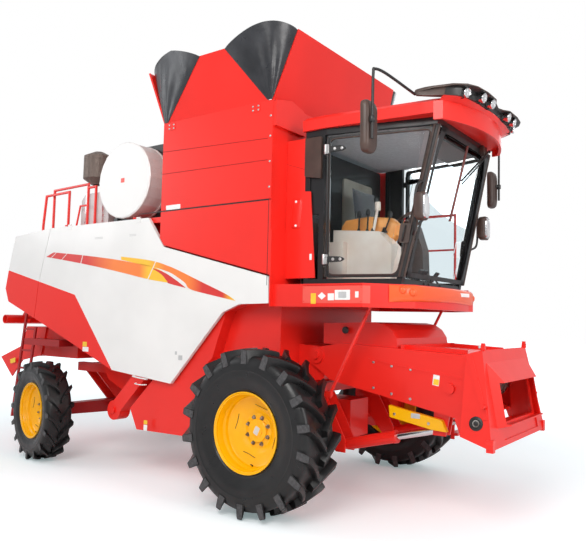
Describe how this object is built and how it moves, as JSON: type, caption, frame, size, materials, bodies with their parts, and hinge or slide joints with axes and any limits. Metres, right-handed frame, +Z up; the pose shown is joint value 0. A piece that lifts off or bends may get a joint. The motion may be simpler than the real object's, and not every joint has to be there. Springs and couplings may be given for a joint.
{
  "type": "combine harvester",
  "caption": "Wheeled self-propelled combine harvester with cab, open grain tank extensions, feeder house and rear-wheel steering; no cutting table fitted.",
  "frame": {"origin": "on the ground under the middle of the machine's length and width", "axes": "+X forward, +Y to the machine's left, +Z up"},
  "size_m": [7.0282, 3.16, 4.5736],
  "materials": {
    "red_paint": "gloss orange-red enamel",
    "white_paint": "gloss warm white enamel",
    "yellow_paint": "gloss golden yellow enamel",
    "dark_red_paint": "satin dark red enamel",
    "tyre_rubber": "moulded, matt",
    "black_rubber": "satin sheet rubber",
    "black_plastic": "moulded, satin",
    "black_paint": "satin black",
    "grey_paint": "gloss light grey",
    "steel": "worn bright steel",
    "chrome": "hard chrome",
    "clear_glass": "clear safety glass",
    "lamp_glass": "clear lens over a reflector",
    "seat_fabric": "dark woven cover",
    "engine_paint": "painted castings"
  },
  "bodies": {
    "machine": {"air_cleaner": "black_plastic", "auger_elbow": "red_paint", "cab_base": "red_paint", "cab_frame": "black_paint", "cab_glass": "clear_glass", "cab_roof": "red_paint", "cab_struts": "red_paint", "cleaning_shoe": "red_paint", "console": "black_plastic", "deck_rails": "red_paint", "drive_axle": "red_paint", "engine": "engine_paint", "fuel_tank": "grey_paint", "grain_elevators": "red_paint", "grain_tank": "red_paint", "ladder": "red_paint", "lamps": "lamp_glass", "light_pod": "black_plastic", "main_frame": "red_paint", "mirrors": "black_plastic", "platform": "red_paint", "radiator_housing": "black_paint", "rear_axle": "red_paint", "rear_hood": "white_paint", "rear_ladder": "dark_red_paint", "seat": "seat_fabric", "steering_column": "black_plastic", "straw_spreader": "red_paint", "tank_flaps": "red_paint", "tank_gussets": "black_rubber", "threshing_body": "red_paint", "tow_tube": "red_paint", "work_lamps": "black_plastic"},
    "front_wheel_r": {"front_tyre_r": "tyre_rubber", "front_rim_r": "yellow_paint"},
    "front_wheel_l": {"front_tyre_l": "tyre_rubber", "front_rim_l": "yellow_paint"},
    "knuckle_r": {"knuckle_r": "red_paint"},
    "knuckle_l": {"knuckle_l": "red_paint"},
    "rear_wheel_r": {"rear_tyre_r": "tyre_rubber", "rear_rim_r": "yellow_paint"},
    "rear_wheel_l": {"rear_tyre_l": "tyre_rubber", "rear_rim_l": "yellow_paint"},
    "feeder": {"feeder_house": "red_paint", "header_frame": "red_paint", "feeder_drum": "steel", "feeder_chain": "steel", "safety_lock": "yellow_paint"},
    "lift_barrel_r": {"lift_barrel_r": "red_paint"},
    "lift_barrel_l": {"lift_barrel_l": "red_paint"},
    "lift_rod_r": {"lift_rod_r": "chrome"},
    "lift_rod_l": {"lift_rod_l": "chrome"},
    "door_r": {"door_frame_r": "black_paint", "door_glass_r": "clear_glass"},
    "door_l": {"door_frame_l": "black_paint", "door_glass_l": "clear_glass"},
    "side_shield_r": {"side_shield_r": "white_paint"},
    "side_shield_l": {"side_shield_l": "white_paint"},
    "screen_drum": {"screen_drum": "white_paint"},
    "unload_auger": {"unload_auger": "red_paint"}
  },
  "joints": [
    {"name": "front_wheel_r_spin", "type": "hinge", "parent": "machine", "child": "front_wheel_r", "pos_m": [1.555, -1.3465, 0.735], "axis": [0, 1, 0], "continuous": true},
    {"name": "front_wheel_l_spin", "type": "hinge", "parent": "machine", "child": "front_wheel_l", "pos_m": [1.555, 1.3465, 0.735], "axis": [0, 1, 0], "continuous": true},
    {"name": "steer_r", "type": "hinge", "parent": "machine", "child": "knuckle_r", "pos_m": [-1.819, -1.045, 0.58], "axis": [0, 0, 1], "range_deg": [-23.8, 46.2]},
    {"name": "steer_l", "type": "hinge", "parent": "machine", "child": "knuckle_l", "pos_m": [-1.819, 1.045, 0.58], "axis": [0, 0, 1], "range_deg": [-23.8, 46.2]},
    {"name": "rear_wheel_r_spin", "type": "hinge", "parent": "knuckle_r", "child": "rear_wheel_r", "pos_m": [-1.85785, -1.24119, 0.58], "axis": [0.1942, 0.981, 0], "continuous": true},
    {"name": "rear_wheel_l_spin", "type": "hinge", "parent": "knuckle_l", "child": "rear_wheel_l", "pos_m": [-1.78015, 1.24119, 0.58], "axis": [0.1942, 0.981, 0], "continuous": true},
    {"name": "feeder_lift", "type": "hinge", "parent": "machine", "child": "feeder", "pos_m": [1.685, 0, 1.39], "axis": [0, -1, 0], "range_deg": [-14, 12]},
    {"name": "lift_barrel_r_turn", "type": "hinge", "parent": "machine", "child": "lift_barrel_r", "pos_m": [1.947, -0.5, 0.545], "axis": [0, -1, 0], "range_deg": [-17, 14]},
    {"name": "lift_rod_r_slide", "type": "slide", "parent": "lift_barrel_r", "child": "lift_rod_r", "axis": [0.9686, 0, 0.2485], "range_m": [-0.23, 0.2]},
    {"name": "lift_barrel_l_turn", "type": "hinge", "parent": "machine", "child": "lift_barrel_l", "pos_m": [1.947, 0.5, 0.545], "axis": [0, -1, 0], "range_deg": [-17, 14]},
    {"name": "lift_rod_l_slide", "type": "slide", "parent": "lift_barrel_l", "child": "lift_rod_l", "axis": [0.9686, 0, 0.2485], "range_m": [-0.23, 0.2]},
    {"name": "door_r_swing", "type": "hinge", "parent": "machine", "child": "door_r", "pos_m": [1.905, -0.85, 2.125], "axis": [0, 0, -1], "range_deg": [0, 38]},
    {"name": "door_l_swing", "type": "hinge", "parent": "machine", "child": "door_l", "pos_m": [1.905, 0.85, 2.125], "axis": [0, 0, 1], "range_deg": [0, 38]},
    {"name": "side_shield_r_lift", "type": "hinge", "parent": "machine", "child": "side_shield_r", "pos_m": [-2.113, -1.1, 2.837], "axis": [-1, 0, 0], "range_deg": [0, 60]},
    {"name": "side_shield_l_lift", "type": "hinge", "parent": "machine", "child": "side_shield_l", "pos_m": [-2.113, 1.1, 2.837], "axis": [1, 0, 0], "range_deg": [0, 60]},
    {"name": "screen_drum_spin", "type": "hinge", "parent": "machine", "child": "screen_drum", "pos_m": [-0.735, -1, 3.3], "axis": [0, 1, 0], "continuous": true},
    {"name": "unload_auger_swing", "type": "hinge", "parent": "machine", "child": "unload_auger", "pos_m": [0.555, 1.29, 3.12], "axis": [0, 0, -1], "range_deg": [0, 95]}
  ],
  "couplings": [
    {"joint": "steer_l", "follows": "steer_r", "ratio": 1},
    {"joint": "lift_barrel_r_turn", "follows": "feeder_lift", "ratio": 1.05},
    {"joint": "lift_rod_r_slide", "follows": "feeder_lift", "m_per_rad": 0.88},
    {"joint": "lift_barrel_l_turn", "follows": "feeder_lift", "ratio": 1.05},
    {"joint": "lift_rod_l_slide", "follows": "feeder_lift", "m_per_rad": 0.88}
  ]
}
